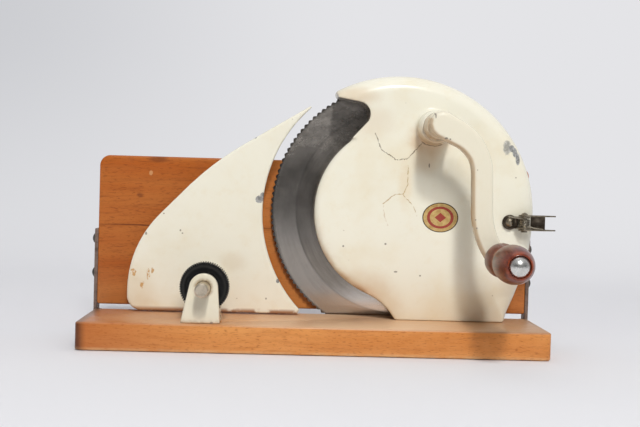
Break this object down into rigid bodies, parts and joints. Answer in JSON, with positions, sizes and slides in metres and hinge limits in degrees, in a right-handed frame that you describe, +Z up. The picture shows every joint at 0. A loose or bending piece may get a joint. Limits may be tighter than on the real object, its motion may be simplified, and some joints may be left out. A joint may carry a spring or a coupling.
{
  "type": "hand crank bread slicer",
  "caption": "Hand crank bread slicer: round toothed blade in a domed housing on a wooden base, with a curved fence set by a thumbwheel and a folding wooden loaf tray.",
  "frame": {"origin": "middle of the base's underside, on the table", "axes": "+X along the base from the fence to the housing, +Y from the user to the loaf side, +Z up"},
  "size_m": [0.3545, 0.1862, 0.2066],
  "materials": {
    "base_wood": "varnished beech, worn",
    "tray_wood": "varnished beech, darkened",
    "grip_wood": "red-brown lacquer, worn",
    "enamel": "cream enamel, aged",
    "blade_steel": "turned, dull",
    "steel": "plain, dull",
    "gear_iron": "greased",
    "bright_steel": "polished",
    "dark_steel": "browned",
    "nickel": "dull nickel plate",
    "brass": "plain",
    "black_plastic": "moulded, knurled rim"
  },
  "bodies": {
    "base": {"base_board": "base_wood", "housing": "enamel", "housing_bolts": "steel", "gear_plate": "steel", "plate_screws": "steel", "crank_bush": "brass", "blade_axle": "steel", "blade_cap": "steel", "wheel_bracket": "enamel", "bracket_bolts": "steel", "guide_channel": "steel", "channel_screws": "steel", "hinge_plate_left": "dark_steel", "hinge_plate_right": "dark_steel", "hinge_screws": "dark_steel", "hinge_pins": "dark_steel", "latch_bracket": "nickel", "latch_screw": "nickel", "latch_pin": "nickel", "latch_spring": "nickel"},
    "blade": {"blade_disc": "blade_steel", "blade_gear": "gear_iron", "hub_bush": "brass", "blade_screws": "steel"},
    "crank": {"crank_shaft": "steel", "crank_pinion": "gear_iron", "pinion_pin": "steel", "crank_arm": "enamel", "arm_pin": "steel", "handle_stud": "bright_steel"},
    "handle": {"handle_grip": "grip_wood"},
    "fence": {"fence_plate": "enamel", "fence_spindle": "steel", "fence_slide": "steel", "slide_screw": "steel"},
    "thumbwheel": {"thumbwheel": "black_plastic", "wheel_insert": "brass"},
    "tray": {"tray_board": "tray_wood", "tray_strip_left": "dark_steel", "tray_strip_right": "dark_steel", "tray_screws": "dark_steel"},
    "latch": {"latch_lever": "nickel"}
  },
  "joints": [
    {"name": "blade_spin", "type": "hinge", "parent": "base", "child": "blade", "pos_m": [0.065, 0, 0.102], "axis": [0, 1, 0], "continuous": true},
    {"name": "crank_turn", "type": "hinge", "parent": "base", "child": "crank", "pos_m": [0.08601, 0, 0.16667], "axis": [0, 1, 0], "continuous": true},
    {"name": "handle_spin", "type": "hinge", "parent": "crank", "child": "handle", "pos_m": [0.12876, 0, 0.07254], "axis": [0, 1, 0], "continuous": true},
    {"name": "fence_move", "type": "slide", "parent": "base", "child": "fence", "axis": [0, 1, 0], "range_m": [-0.008, 0.009]},
    {"name": "wheel_turn", "type": "hinge", "parent": "base", "child": "thumbwheel", "pos_m": [-0.0804, 0, 0.0455], "axis": [0, 1, 0], "range_deg": [-730, 820]},
    {"name": "tray_fold", "type": "hinge", "parent": "base", "child": "tray", "pos_m": [0, 0.056, 0.013], "axis": [-1, 0, 0], "range_deg": [0, 90]},
    {"name": "latch_swing", "type": "hinge", "parent": "base", "child": "latch", "pos_m": [0.1553, -0.004, 0.0975], "axis": [0, 0, -1], "range_deg": [0, 20], "stiffness_Nm_per_rad": 0.02, "springref_deg": -17.19, "deforming": ["latch_spring"]}
  ],
  "couplings": [
    {"joint": "crank_turn", "follows": "blade_spin", "ratio": -2.4},
    {"joint": "wheel_turn", "follows": "fence_move", "rad_per_m": 1570.8}
  ]
}
